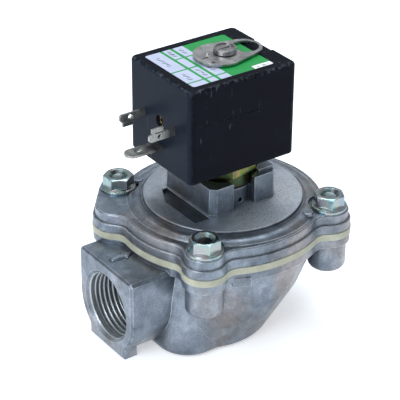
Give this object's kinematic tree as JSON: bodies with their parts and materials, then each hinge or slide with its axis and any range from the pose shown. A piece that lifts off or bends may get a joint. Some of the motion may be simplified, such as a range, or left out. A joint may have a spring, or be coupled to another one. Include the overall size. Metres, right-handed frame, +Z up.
{
  "type": "dust collector pulse valve",
  "caption": "Right-angle diaphragm pulse valve with threaded side inlet and bottom outlet, lobed bolted bonnet and a square plug-in solenoid coil under a slide-off clip.",
  "frame": {"origin": "on the diaphragm's axis, in the plane of the outlet face on which the valve stands", "axes": "+Z up through the bonnet and the coil, -X out of the inlet port and the coil's terminal face, -Z out of the outlet port"},
  "size_m": [0.0876, 0.074, 0.104],
  "materials": {
    "cast_aluminium": "as-cast satin",
    "cream_elastomer": "smooth moulded",
    "zinc_plated_steel": "zinc plated",
    "yellow_zinc_steel": "yellow chromate over zinc",
    "black_rubber": "moulded",
    "spring_steel": "bright",
    "stainless_steel": "turned",
    "copper": "bare or enamelled",
    "black_moulding": "fine moulded grain",
    "nylon": "moulded",
    "frame_steel": "rolled",
    "brass": "turned",
    "tinned_blade": "tin plated",
    "label_film": "printed film",
    "clip_steel": "stainless sheet"
  },
  "bodies": {
    "valve": {"valve_body": "cast_aluminium", "bonnet": "cast_aluminium", "diaphragm": "cream_elastomer", "cover_bolt_1": "zinc_plated_steel", "cover_bolt_2": "zinc_plated_steel", "cover_bolt_3": "zinc_plated_steel", "cover_bolt_4": "zinc_plated_steel", "solenoid_base": "yellow_zinc_steel", "base_gasket": "black_rubber", "spring_washer": "spring_steel", "core_tube": "stainless_steel", "plug": "stainless_steel", "shading_ring": "copper"},
    "diaphragm_stack": {"backing_plate": "stainless_steel", "retainer": "stainless_steel", "diaphragm_rivet": "stainless_steel", "diaphragm_spring": "spring_steel"},
    "plunger": {"core": "stainless_steel", "core_seal": "black_rubber", "core_spring": "spring_steel"},
    "coil": {"coil_housing": "black_moulding", "flux_frame": "frame_steel", "coil_bobbin": "nylon", "coil_winding": "copper", "line_terminal_1": "tinned_blade", "line_terminal_2": "tinned_blade", "earth_terminal": "tinned_blade", "connector_insert": "brass", "nameplate": "label_film"},
    "clip": {"retaining_clip": "clip_steel"}
  },
  "joints": [
    {"name": "diaphragm_lift", "type": "slide", "parent": "valve", "child": "diaphragm_stack", "axis": [0, 0, 1], "range_m": [0, 0.005], "stiffness_N_per_m": 600, "springref_m": -0.006, "deforming": ["diaphragm", "diaphragm_spring"]},
    {"name": "core_lift", "type": "slide", "parent": "valve", "child": "plunger", "axis": [0, 0, 1], "range_m": [0, 0.0015], "stiffness_N_per_m": 150, "springref_m": -0.008, "deforming": ["core_spring"]},
    {"name": "coil_swivel", "type": "hinge", "parent": "valve", "child": "coil", "pos_m": [0, 0, 0.066], "axis": [0, 0, 1], "continuous": true},
    {"name": "clip_slide", "type": "slide", "parent": "valve", "child": "clip", "axis": [-1, 0, 0], "range_m": [0, 0.0087]}
  ]
}
